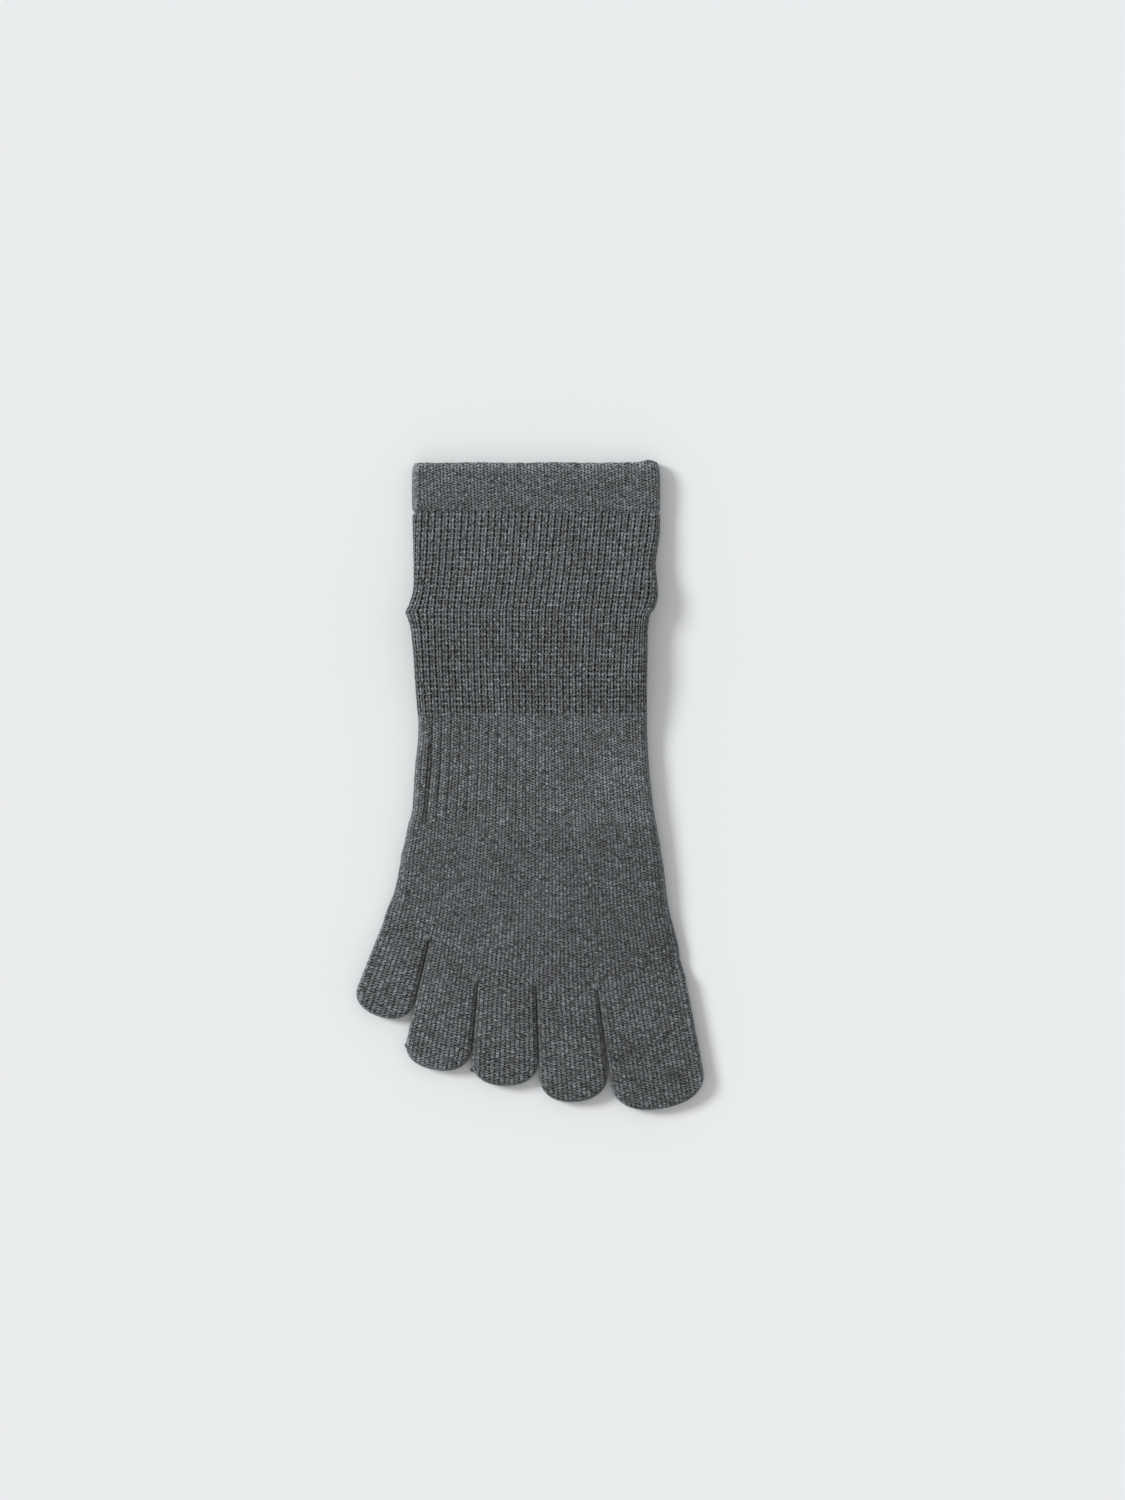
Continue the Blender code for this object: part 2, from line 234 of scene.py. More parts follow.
def melange(name, stitches, lift=0.0, depth=0.00022):
    """The knitted surface of one zone in the grey melange yarn, laid out by its Knit map. lift makes
    the zone lighter, by powers of two."""
    material = bpy.data.materials.new(name)
    material.use_nodes = True
    tree = material.node_tree
    start = Wire(tree)
    knit = start.add("UVMap", {"uv_map": "Knit"}, {})
    place = start.add("TexCoord", {}, {}, "Object")
    wale, course = knit.axis("X"), knit.axis("Y")

    # No course is quite level, and no wale quite straight
    drift = place.noise(160.0, 1.0, "Color")
    wale, course = wale + (drift.axis("X") - 0.5) * 0.20, course + (drift.axis("Y") - 0.5) * 0.7
    shift = place.noise(900.0, 0.0, "Color")
    wale, course = wale + (shift.axis("X") - 0.5) * 0.35, course + (shift.axis("Y") - 0.5) * 0.45
    height, tone, yarn_across, yarn_along = stitches(wale, course, place)

    # Light and dark fibres: by the stitch's leg, by the strand and by the single speck. Tones are
    # powers of two, so that the specks stay rare and bright
    share = (wale * 2).chance(course)
    strand = knit.add(
        "CombineXYZ", {}, {"X": yarn_across * STRANDS_ACROSS, "Y": yarn_along * STRANDS_ALONG}
    )
    fibre = strand.noise(1.0, 2.0, dimensions="2D")
    flat = {"voronoi_dimensions": "2D"}
    speck = knit.add("TexVoronoi", flat, {"Vector": strand, "Scale": 1.0}, "Color").axis("X")
    mottle = place.noise(70.0, 2.0)
    power = tone + lift + (share - 0.5) * STITCH_CONTRAST + (fibre - 0.5) * FIBRE_CONTRAST
    power = power + (speck - 0.5) * SPECK_CONTRAST + (mottle - 0.5) * MOTTLE_CONTRAST
    shade = power.math("MINIMUM", 2.0**power, LIGHTEST)
    shade = shade.math("MAXIMUM", shade, DARKEST)

    grey = shade.add("CombineXYZ", {}, {"X": shade, "Y": shade, "Z": shade})
    colour = grey.add("VectorMath", {"operation": "MULTIPLY"}, {0: grey, 1: YARN_TINT})
    relief = height + (fibre - 0.5) * 0.4 + (speck - 0.5) * 0.2
    bump = relief.add("Bump", {}, {"Height": relief, "Strength": 0.9, "Distance": depth})
    shader = tree.nodes["Principled BSDF"]
    tree.links.new(colour.socket, shader.inputs["Base Color"])
    tree.links.new(bump.socket, shader.inputs["Normal"])
    for socket, value in YARN_FINISH.items():
        shader.inputs[socket].default_value = value
    return material


SWELL_WAVES = 26
SWELL_LENGTHS = 0.014, 0.055
SWELL_RISE = 0.0016


def swell(x, y):
    """Soft unevenness of fabric that lies on itself, alike in every zone."""
    waves = np.random.default_rng(7)
    total = np.zeros_like(x)
    for _ in range(SWELL_WAVES):
        heading = waves.uniform(0, math.pi)
        length = waves.uniform(*SWELL_LENGTHS)
        phase = waves.uniform(0, 2 * math.pi)
        along = x * math.cos(heading) + y * math.sin(heading)
        total += length * np.sin(2 * math.pi * along / length + phase)
    return total * SWELL_RISE


ROLL_POINTS = 14


def flattened(width, roll, flat_points):
    """Across a flattened tube, and how far its fabric stands up there, rolling over at each side."""
    turn = np.linspace(0, math.pi / 2, ROLL_POINTS)
    near = roll * (1 - np.cos(turn))
    flat = np.linspace(roll, width - roll, flat_points)[1:-1]
    across = np.concatenate((near, flat, width - near[::-1]))
    return across, np.concatenate((np.sin(turn), np.ones(len(flat)), np.sin(turn)[::-1]))


def outline(left, right, low, high, half_height, inset=0.0):
    """A cross-section of the flat tube: its upper and its lower fabric, each from left to right."""
    left, right, low, high = left - inset, right - inset, low + inset, high - inset
    across, full = flattened(left + right, ROLL_WIDTH - inset * INNER_ROLL, 60)
    edge = high + inset - half_height
    x = MIDDLE_X - left + across
    dome = CROWN * full * (1 - (2 * across / (left + right) - 1) ** 2)
    above = np.column_stack((x, edge + (high - edge) * full + dome))
    below = np.column_stack((x, edge - (edge - low) * full))
    return above, below


def summed(steps):
    """The way to each point, from the steps between them."""
    return np.concatenate((np.zeros_like(steps[:1]), np.cumsum(steps, axis=0)))


def evenly(above, below, turn):
    """ROUND points along a section, half of them evenly on each fabric, from the left edge over the
    top and back below. turn moves the first point on, in wales."""
    where = 2 * ((np.arange(ROUND) / ROUND + turn / (2 * WALES)) % 1)
    points = np.empty((ROUND, 2))
    for fabric, share, on in ((above, where, where <= 1), (below, 2 - where, where > 1)):
        along = summed(np.linalg.norm(np.diff(fabric, axis=0), axis=1))
        for i in range(2):
            points[on, i] = np.interp(share[on] * along[-1], along, fabric[:, i])
    return points


def level(down):
    return 0.0


def measured(downs, table, column):
    """A table's measure at some distances down."""
    return np.interp(downs, [row.down for row in table], [getattr(row, column) for row in table])


def smoothly(down, table, column):
    """The same at one distance, with the table's corners rounded and its ends kept."""
    reach = max(0.0, min(CORNER_ROUNDING, down - table[0].down, table[-1].down - down))
    return measured(down + reach * np.linspace(-1, 1, 7), table, column).mean()


def tube_rings(downs, edges, half_height, low=level, turn=level, inset=0.0):
    """A grid of points, one ring for each distance down the tube.

    The wales keep to the sock's smooth run, and bumps of the outline move only those near the edge.
    """
    rings = []
    for down in downs:
        left, right, high = (smoothly(down, edges, column) for column in ("left", "right", "high"))
        run_left, run_right = smoothly(down, RUN, "left"), smoothly(down, RUN, "right")
        section = outline(run_left, run_right, low(down), high, half_height, inset)
        points = evenly(*section, turn(down))
        from_left, from_right = points[:, 0] - MIDDLE_X + run_left, run_right - points[:, 0] + MIDDLE_X
        points[:, 0] -= (left - run_left) * np.exp(-((from_left / BUMP_REACH) ** 2))
        points[:, 0] += (right - run_right) * np.exp(-((from_right / BUMP_REACH) ** 2))
        rings.append(np.column_stack((points[:, 0], np.full(ROUND, MOUTH_Y - down), points[:, 1])))
    return np.array(rings)


def lay_down(grid, high, half_height):
    """Gives the upper fabric its unevenness. The lower one keeps flat on the floor."""
    high = np.broadcast_to(high, len(grid))[:, None]
    share = np.clip((grid[..., 2] - high) / half_height + 1, 0, 1)
    grid[..., 2] += swell(grid[..., 0], grid[..., 1]) * share
    return grid


def outward(grid):
    """The surface's direction at each point of a grid of closed rings."""
    along = np.gradient(grid, axis=0)
    across = np.roll(grid, -1, axis=1) - np.roll(grid, 1, axis=1)
    normal = np.cross(along, across)
    normal[[0, -1], :, 1] = 0.0  # the end rings keep to their planes, and so meet their neighbours'
    return normal / np.maximum(np.linalg.norm(normal, axis=2, keepdims=True), 1e-12)


SCATTER = (12989.8, 78233.1, 37719.7)
SCATTER_SPREAD = 43758.5453


def pushed(grid, height):
    """The grid moved outwards by a relief, and by the small unevenness that every stitch has, which
    is scattered by the point's own place."""
    spun = np.sin(grid @ SCATTER) * SCATTER_SPREAD
    uneven = UNEVENNESS * (2 * (spun - np.floor(spun)) - 1)
    return grid + outward(grid) * (height + uneven)[..., None]


# Where a shell's faces lie on the map for baking: start and extent, then low and high sides
BAKE_ACROSS = (0.01, 0.98)
BAKE_OUTER = (0.01, 0.78)
BAKE_INNER = (0.82, 0.91)
BAKE_FIRST_EDGE = (0.93, 0.95)
BAKE_LAST_EDGE = (0.97, 0.99)
EDGE_COURSES = 1.3


def knit_shell(node, outer, inner, rows, material, first_wale=0.0, closed=False):
    """A zone's piece: the outer fabric face, the inner one and the edges between them.

    rows gives each outer ring's place in rows of stitches, as numbers or as a grid. A closed shell's
    last rings are folds: their upper and lower halves share points.
    """
    count = outer.shape[1]
    column = np.arange(count)
    following = (column + 1) % count
    steps = np.column_stack((column, column, column + 1, column + 1))
    corners, knit, bake = [], [], []
    rows = np.broadcast_to(np.asarray(rows, float).reshape(len(outer), -1), outer.shape[:2])

    def between(first, second):
        return np.column_stack((first[column], second[column], second[following], first[following]))

    def strip(first, second, low, high, courses):
        """Quads between two rings of points, with their places on both maps."""
        corners.append(between(first, second))
        knit.append(np.stack((first_wale + steps / STEPS_PER_WALE, between(*courses)), axis=-1))
        share = BAKE_ACROSS[0] + BAKE_ACROSS[1] * steps / count
        bake.append(np.stack((share, np.broadcast_to([low, high, high, low], share.shape)), axis=-1))

    def fold(ring):
        return np.where(column <= count // 2, ring, ring[(count - column) % count])

    points = np.vstack((outer.reshape(-1, 3), inner.reshape(-1, 3)))
    outer_index = np.arange(outer.shape[0] * count).reshape(outer.shape[:2])
    inner_index = outer_index.size + np.arange(inner.shape[0] * count).reshape(inner.shape[:2])
    if closed:
        outer_index[-1], inner_index[-1] = fold(outer_index[-1]), fold(inner_index[-1])
    length = summed(np.linalg.norm(np.diff(outer, axis=0), axis=2).mean(1))
    length = BAKE_OUTER[0] + BAKE_OUTER[1] * length / length[-1]
    for i in range(len(outer) - 1):
        strip(outer_index[i], outer_index[i + 1], length[i], length[i + 1], (rows[i], rows[i + 1]))
    inner_rows = np.linspace(rows[0].mean(), rows[-1].mean(), len(inner))
    inner_share = np.linspace(*BAKE_INNER, len(inner))
    for i in range(len(inner) - 1):
        courses = np.full(count, inner_rows[i + 1]), np.full(count, inner_rows[i])
        strip(inner_index[i + 1], inner_index[i], inner_share[i + 1], inner_share[i], courses)
    strip(inner_index[0], outer_index[0], *BAKE_FIRST_EDGE, (rows[0] - EDGE_COURSES, rows[0]))
    if not closed:
        strip(outer_index[-1], inner_index[-1], *BAKE_LAST_EDGE, (rows[-1], rows[-1] + EDGE_COURSES))
    brim = np.zeros(len(points), np.int8)
    ends = [outer_index[0], inner_index[0]] + ([] if closed else [outer_index[-1], inner_index[-1]])
    for number, ring in enumerate(ends, 1):
        brim[ring] = number
    mesh_piece(node + "_knit", node, points, brim, corners, knit, bake, material)


def placed(name, data):
    thing = bpy.data.objects.new(name, data)
    bpy.context.scene.collection.objects.link(thing)
    return thing


def mesh_piece(name, node, points, brim, corners, knit, bake, material):
    """A piece from arrays, with its stitch map and its map for baking, which stands for a node of the
    frame. The edges along a brim, where its number is the same at both ends, are sharp."""
    used, corners = np.unique(np.vstack(corners), return_inverse=True)
    corners = corners.reshape(-1, 4)
    mesh = bpy.data.meshes.new(name)
    mesh.vertices.add(len(used))
    mesh.vertices.foreach_set("co", points[used].astype(np.float32).ravel())
    mesh.loops.add(corners.size)
    mesh.loops.foreach_set("vertex_index", corners.astype(np.int32).ravel())
    mesh.polygons.add(len(corners))
    mesh.polygons.foreach_set("loop_start", np.arange(0, corners.size, 4, dtype=np.int32))
    mesh.update(calc_edges=True)
    for title, places in (("Knit", knit), ("OFBake", bake)):
        layer = mesh.uv_layers.new(name=title)
        layer.uv.foreach_set("vector", np.vstack(places).astype(np.float32).ravel())
    mesh.shade_smooth()
    pairs = np.empty(2 * len(mesh.edges), np.int32)
    mesh.edges.foreach_get("vertices", pairs)
    first, second = brim[used][pairs.reshape(-1, 2)].T
    sharp = mesh.attributes.new("sharp_edge", "BOOLEAN", "EDGE")
    sharp.data.foreach_set("value", (first == second) & (first > 0))
    mesh.materials.append(material)
    mesh.validate()
    piece = placed(name, mesh)
    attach(piece, "root")
    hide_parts(node)


def plain_relief(grid, courses, first_wale=0.0):
    """Upright wales, low at their borders and lowest at every stitch's pinhole there."""
    wale = first_wale + np.arange(grid.shape[1]) / STEPS_PER_WALE
    courses = np.asarray(courses, float).reshape(len(grid), -1)
    border = 0.5 + 0.5 * np.cos(2 * math.pi * wale)
    stitch = np.cos(2 * math.pi * (courses + 0.5 * np.floor(wale + 0.5)))
    return WALE_DEPTH * (0.5 - border) - PIN_DEPTH * border * stitch


def seam(grid, down, line):
    """Depth of the joining course's furrow, which is uneven and shallower towards the right."""
    share = np.clip((grid[..., 0] - MIDDLE_X) / WELT_HALF_WIDTH, -1, 1)
    strength = 0.65 - 0.35 * share + 0.25 * np.sin(share * 61) * np.sin(share * 23)
    return SEAM_DEPTH * strength * np.exp(-(((down - line) / SEAM_WIDTH) ** 2))[:, None]


def welt_turn(down):
    """The wales lean a little to the right on their way down the welt."""
    return WELT_LEAN * (down / WELT_LENGTH - 1)


# Painted highlights at the left edge and the rim, and a line of painted shade beside the edge
WELT_EDGE_HIGHLIGHT, EDGE_LINE_SHADE = 0.27, 0.6
EDGE_LINE = 0.0029
RIM_HIGHLIGHT = 0.55


def welt_stitches(wale, course, place):
    """Plain knit, with a painted highlight along the rim. The wale that turns over at the left edge is
    smooth, with a painted highlight on it and a line of painted shade beside it."""
    height, tone, across, along = plain_stitches(wale, course)
    from_edge = place.axis("X") - (MIDDLE_X - WELT_HALF_WIDTH)
    strip = from_edge.fade(0.0020, 0.0027)
    line = abs(from_edge - EDGE_LINE).fade(0.0, 0.0007)
    from_rim = (MOUTH_Y + WELT_WALL / 2) - place.axis("Y")
    # Painted highlight on the turned wale and the rim, painted shade in the line beside the wale
    tone = tone * (1 - strip) + strip * WELT_EDGE_HIGHLIGHT - line * EDGE_LINE_SHADE
    return height, tone + from_rim.fade(0.0004, 0.0045) * RIM_HIGHLIGHT, across, along


# The rim: half a turn over the fold, from inside the mouth to the outside
rim_turn = np.linspace(math.pi, 0, 9)[:-1]
outside = np.linspace(0, WELT_LENGTH, 37)
welt_downs = np.concatenate((-WELT_WALL / 2 * np.sin(rim_turn), outside))
welt_insets = np.concatenate((WELT_WALL / 2 * (1 - np.cos(rim_turn)), np.zeros(len(outside))))
welt_outer = np.concatenate([
    tube_rings([down], WELT_EDGES, WELT_HALF_HEIGHT, turn=welt_turn, inset=inset)
    for down, inset in zip(welt_downs, welt_insets)
])
welt_tops = measured(welt_downs, WELT_EDGES, "high") - welt_insets
welt_outer = lay_down(welt_outer, welt_tops, WELT_HALF_HEIGHT)
welt_courses = np.concatenate((np.linspace(-3.0, -0.3, len(rim_turn)), outside / COURSE))
welt_relief = plain_relief(welt_outer, welt_courses) - seam(welt_outer, welt_downs, WELT_LENGTH)
welt_outer = pushed(welt_outer, welt_relief)
# The rim waves a little, and its right end stands up higher than the rest
from_middle = welt_outer[..., 0] - MIDDLE_X
waves = RIM_WAVE * np.sin(from_middle / WAVE_LENGTH)
waves += RIM_RIPPLE * np.sin(from_middle / RIPPLE_LENGTH + 1)
hump = RIM_HUMP * np.exp(-(((from_middle - HUMP_AT) / HUMP_WIDTH) ** 2))
welt_outer[..., 1] += (waves + hump) * np.clip(1 - welt_downs / RIM_REACH, 0, 1)[:, None] ** 2
inside = np.linspace(INSIDE_START, WELT_LENGTH, 7)
welt_inner = tube_rings(inside, WELT_EDGES, WELT_HALF_HEIGHT, turn=welt_turn, inset=WELT_WALL)

welt_knit = melange("welt_melange", welt_stitches, -0.03)
knit_shell("cuff_welt", welt_outer, welt_inner, welt_courses, welt_knit)

# Leg tube: ribbed tuck knit, where every second wale border is a column of open holes between
# raised wales with a painted highlight. It goes on from the welt's last course, and its upper
# fabric rises to the heel line, past which the sock lies on its folded heel pocket.
RIB_WALL = 0.0015
HALF_HEIGHT = 0.00405
LEG_LENGTH = 0.0384
LEG_TUCKS = 21
ROWS_PER_TUCK = 4
HEEL_LINE = WELT_LENGTH + LEG_LENGTH
LEG_LEAN = -2.0
TUCK_RIDGE = 0.00020
TUCK_HOLE = 0.00042
SMALL_HOLE = 0.55
SHUT_HOLE = 0.25
TUCK_STEP = 0.00005
LEG_EDGES = (
    Edge(0.0181, 0.0473, 0.0476, 0.00810),
    Edge(0.0229, 0.0471, 0.0477, 0.00815),
    Edge(0.0277, 0.0471, 0.0474, 0.00827),
    Edge(0.0329, 0.0469, 0.0465, 0.00865),
    Edge(0.0387, 0.0468, 0.0458, 0.00935),
    Edge(0.0430, 0.0468, 0.0464, 0.01005),
    Edge(0.0465, 0.0468, 0.0469, 0.01065),
    Edge(0.0498, 0.0471, 0.0469, 0.01105),
    Edge(0.0529, 0.0482, 0.0466, 0.01132),
    Edge(0.0550, 0.0492, 0.0457, 0.01143),
    Edge(0.0565, 0.0499, 0.0443, 0.01150),
)

# Painted highlight on raised wales; painted shade in furrows, holes and small holes
RIDGE_HIGHLIGHT = 0.50
FURROW_SHADE = 0.40
HOLE_SHADE = 11.0
DOT_SHADE = 3.6
OPEN_UNTIL, SHUT_FROM = 0.032, 0.078
LAST_ROWS, TUCK_END = 0.0905, 0.0965


def tuck_stitches(wale, row, place):
    """Tuck knit: a raised wale with a painted highlight, a column of holes, a softer wale, a column
    of small holes, with painted shade in the holes and in the furrows between the wales.
    """
    bright = ((wale - 0.5) / 2).off_whole() * 2
    hole = ((wale - 1.0) / 2).off_whole() * 2
    small = (wale / 2).off_whole() * 2
    open_row = row.off_whole()
    # The holes are drawn more or less open from place to place, and most near the leg's mouth
    down = MOUTH_Y - place.axis("Y")
    up_the_leg = down.fade(OPEN_UNTIL, SHUT_FROM)
    inside = down.fade(LAST_ROWS, TUCK_END) * 0.6 + 0.4
    stretch = place.noise(60.0, 1.0).fade(0.25, 0.75)
    holes = hole.fade(0.09, 0.34) * open_row.fade(0.18, 0.42)
    holes = holes * (1.40 - stretch * 0.9 + up_the_leg * 0.5) * inside
    holes = holes * (0.75 + (wale / 2).chance(row + 0.5) * 0.5)
    dots = small.fade(0.04, 0.30) * open_row.fade(0.08, 0.36)
    dots = dots * (0.55 + stretch * 0.8 - up_the_leg * 0.35) * inside
    ridge = bright.fade(0.0, 0.24) + ((wale - 1.5) / 2).off_whole().fade(0.0, 0.12) * 0.4
    furrow = wale.off_whole().fade(0.0, 0.22)
    across, leg = legs(wale, row * 2)
    height = 0.50 + ridge * 0.38 - furrow * 0.12 - holes * 0.7 - dots * 0.4 + leg * 0.25
    tone = -0.16 + ridge * RIDGE_HIGHLIGHT - furrow * FURROW_SHADE - holes * HOLE_SHADE
    tone = tone - dots * DOT_SHADE + leg * LEG_HIGHLIGHT + up_the_leg * 0.10
    return height, tone, across, row * 1.8


def tuck_relief(grid, rows):
    """The same structure as shape."""
    wale = (np.arange(grid.shape[1]) / STEPS_PER_WALE)[None, :]
    opening = (0.5 + 0.5 * np.cos(2 * math.pi * rows))[:, None]
    bright = np.clip(np.cos(math.pi * (wale - 0.5)), 0, 1) ** 3
    hole = np.clip(np.cos(math.pi * (wale - 1.0)), 0, 1) ** 3
    small = np.clip(np.cos(math.pi * wale), 0, 1) ** 4
    holes = TUCK_HOLE * (hole + SMALL_HOLE * small) * (SHUT_HOLE + (1 - SHUT_HOLE) * opening)
    return TUCK_RIDGE * bright - holes - TUCK_STEP * opening


def smooth(share):
    share = np.clip(share, 0, 1)
    return share * share * (3 - 2 * share)


def ease(downs, start=-1.0, end=1.0, over=0.0012):
    """0 at a zone's start and end and 1 inside it, so that neighbouring zones meet in one line. One
    that is left out lies far off, and has no effect."""
    return smooth(np.minimum(downs - start, end - downs) / over)[:, None]


def leg_turn(down):
    """The wales lean a little to the left on their way down the leg."""
    return LEG_LEAN * (down - WELT_LENGTH) / LEG_LENGTH


leg_downs = np.linspace(WELT_LENGTH, HEEL_LINE, ROWS_PER_TUCK * LEG_TUCKS + 1)
leg_rows = np.arange(len(leg_downs)) / ROWS_PER_TUCK
leg_outer = tube_rings(leg_downs, LEG_EDGES, HALF_HEIGHT, turn=leg_turn)
leg_outer = lay_down(leg_outer, measured(leg_downs, LEG_EDGES, "high"), HALF_HEIGHT)
leg_ease = ease(leg_downs, start=WELT_LENGTH)
leg_relief = tuck_relief(leg_outer, leg_rows) * leg_ease
leg_relief += plain_relief(leg_outer, WELT_LENGTH / COURSE + leg_rows) * (1 - leg_ease)
leg_outer = pushed(leg_outer, leg_relief - seam(leg_outer, leg_downs, WELT_LENGTH))
leg_inner = tube_rings(leg_downs[::9], LEG_EDGES, HALF_HEIGHT, turn=leg_turn, inset=RIB_WALL)
tuck_knit = melange("tuck_melange", tuck_stitches, -0.08, 0.00030)
knit_shell("leg_tube", leg_outer, leg_inner, leg_rows, tuck_knit)

# Heel pocket: the short-row cup of plain knit, pressed flat and folded under the sole. Its upper
# corner peeks out at the left of the ankle as a small paler ear.
PLAIN_WALL = 0.0013
HEEL_LOW, HEEL_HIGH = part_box("heel_pocket")
HEEL_TIP_WIDTH = 0.0380
HEEL_ROLL = 0.0016
HEEL_TIP_LENGTH = 0.006
HEEL_SQUARENESS = 3.0
HEEL_RELIEF = 0.6  # its stitches are pressed flatter
SIDE_PULL = 0.35


def half_section(wales, width, roll_width, half_height):
    """Across, from -1 to 1, and height share of the upper fabric's points, evenly spaced along it,
    but for the sides, whose wales are pulled wide."""
    across, rise = flattened(width, roll_width, 40)
    along = summed(np.hypot(np.diff(across), np.diff(rise * half_height) * SIDE_PULL))
    where = np.linspace(0, along[-1], wales * STEPS_PER_WALE + 1)
    return 2 * np.interp(where, along, across) / width - 1, np.interp(where, along, rise)


PUFF_START = 0.012


def pocket(
    across, left, right, heading, straight, tip, squareness, roll_width, half, middle, rows, puff=0.0
):
    """Rings of a flat pocket. left and right are its two sides, each as the points where it starts
    and where the round end starts.

    The columns run straight on and end on the pocket's outline, where the two fabrics fold together.
    """
    rings = []
    reach = straight + tip * (1 - np.abs(across) ** squareness) ** (1 / squareness)
    spot = (across + 1) / 2
    half_width = np.linalg.norm(right[1] - left[1]) / 2
    for share in rows:
        length = reach * share
        place = np.minimum(length / straight, 1)[:, None]
        past = np.maximum(length - straight, 0)
        low = left[0] + (left[1] - left[0]) * place
        high = right[0] + (right[1] - right[0]) * place
        plan = low + (high - low) * spot[:, None] + heading * past[:, None]
        form = (np.abs(across) ** squareness + (past / tip) ** squareness) ** (1 / squareness)
        form = np.where(past > 0, form, np.abs(across))
        inside = np.clip((1 - form) * half_width / roll_width, 0, 1)
        rise = np.sqrt(1 - (1 - inside) ** 2)
        dome = puff * (1 - form**2) * rise * smooth(length / PUFF_START)
        above = np.column_stack((plan, middle + half * rise + dome))
        below = np.column_stack((plan, middle - half * rise))
        rings.append(np.vstack((above, below[-2:0:-1])))
    return np.array(rings)


def pocket_rows(reach, roll_width, count):
    """Shares of a pocket's length, close together where its end rolls over."""
    turn = np.linspace(math.pi / 2, 0, 8)
    roll = roll_width / reach
    return np.concatenate((np.linspace(0, 1 - roll, count)[:-1], 1 - roll * (1 - np.cos(turn))))


def courses_along(rings):
    """The courses counted along each column of points."""
    return summed(np.linalg.norm(np.diff(rings, axis=0), axis=2)) / COURSE


heel_half = (HEEL_HIGH.z - HEEL_LOW.z) / 2
heel_middle = (HEEL_LOW.x + HEEL_HIGH.x) / 2
heel_top = MOUTH_Y - HEEL_LINE
heel_reach = HEEL_HIGH.y - HEEL_LOW.y
heel_straight = heel_reach - HEEL_TIP_LENGTH
heel_across, _ = half_section(WALES, HEEL_HIGH.x - HEEL_LOW.x, HEEL_ROLL, heel_half)
heel_rows = pocket_rows(heel_reach, HEEL_ROLL, 40)
heel_left, heel_right = (
    np.array(((edge, heel_top), (heel_middle + way * HEEL_TIP_WIDTH / 2, heel_top - heel_straight)))
    for edge, way in ((HEEL_LOW.x, -1), (HEEL_HIGH.x, 1))
)


def heel_rings(rows, inset):
    return pocket(
        heel_across, heel_left + (inset, 0), heel_right - (inset, 0), np.array((0.0, -1.0)),
        heel_straight, HEEL_TIP_LENGTH - inset, HEEL_SQUARENESS, HEEL_ROLL,
        heel_half - inset, heel_half, rows,
    )


# A painted highlight on the wale at the right edge, and painted shade deepening to the right
RIGHT_WALE, RIGHT_EDGE_HIGHLIGHT = 78.6, 0.4
SPREAD_SHADE = 0.28
SIDE_SHADE = 2.6


def spread_stitches(wale, course, place):
    """Plain knit where it spreads towards the toes, with painted shade that deepens to the right and a
    painted highlight on the wale at the right edge. On steep sides the pinholes are narrow."""
    steep = abs(place.add("TexCoord", {}, {}, "Normal").axis("Z")).fade(0.35, 0.85)
    height, tone, across, along = plain_stitches(wale, course, 0.30, 1 + steep * 1.8)
    # Painted highlight on the right edge's wale, and painted shade growing to the right
    rim = abs(wale - RIGHT_WALE).fade(0.5, 1.1)
    shade = place.axis("X") * SIDE_SHADE
    return height, tone + rim * RIGHT_EDGE_HIGHLIGHT - SPREAD_SHADE - shade, across, along


plain_knit = melange("plain_melange", spread_stitches)
heel_outer = heel_rings(heel_rows, 0.0)
heel_courses = courses_along(heel_outer)
heel_outer = pushed(heel_outer, plain_relief(heel_outer, heel_courses) * HEEL_RELIEF)
heel_inner = heel_rings(heel_rows[::4], PLAIN_WALL)
knit_shell(
    "heel_pocket", heel_outer, heel_inner, heel_courses, plain_knit, closed=True
)

# Instep tube: the same tuck knit from the heel line to the arch band. It lies on the folded heel
# pocket and comes down to the floor past the pocket's end.
INSTEP_LENGTH = 0.0400
INSTEP_TUCKS = 21
ARCH_START = HEEL_LINE + INSTEP_LENGTH
PIECE_GAP = 0.0003
HEEL_STACK = HEEL_HIGH.z + PIECE_GAP
SOLE_FALL = 0.0110
TOP_FALL_START = 0.0740
TOP_FALL = 0.0320
INSTEP_SIDES = (
    Sides(0.0565, 0.0499, 0.0443),
    Sides(0.0573, 0.0498, 0.0438),
    Sides(0.0585, 0.0490, 0.0434),
    Sides(0.0600, 0.0484, 0.0431),
    Sides(0.0613, 0.0480, 0.0430),
    Sides(0.0652, 0.0475, 0.0429),
    Sides(0.0690, 0.0472, 0.0428),
    Sides(0.0728, 0.0468, 0.0428),
    Sides(0.0786, 0.0464, 0.0427),
    Sides(0.0848, 0.0461, 0.0426),
    Sides(0.0932, 0.0454, 0.0426),
    Sides(0.0965, 0.0451, 0.0427),
)


def sole_height(down):
    """Height of the sole's underside: on the folded pocket, then falling to the floor."""
    past_pocket = down - HEEL_LINE - heel_reach - PIECE_GAP
    return HEEL_STACK * (1 - smooth(past_pocket / SOLE_FALL))


def top_height(down):
    """Height of the upper fabric, which bridges the pocket's end in a longer, softer fall."""
    return 2 * HALF_HEIGHT + HEEL_STACK * (1 - smooth((down - TOP_FALL_START) / TOP_FALL))


def with_heights(downs, sides):
    """The sides' measures at many distances down, enough for the top's smooth fall."""
    left, right = measured(downs, sides, "left"), measured(downs, sides, "right")
    return [Edge(*row) for row in zip(downs, left, right, top_height(downs))]


def full_turn(down):
    return LEG_LEAN


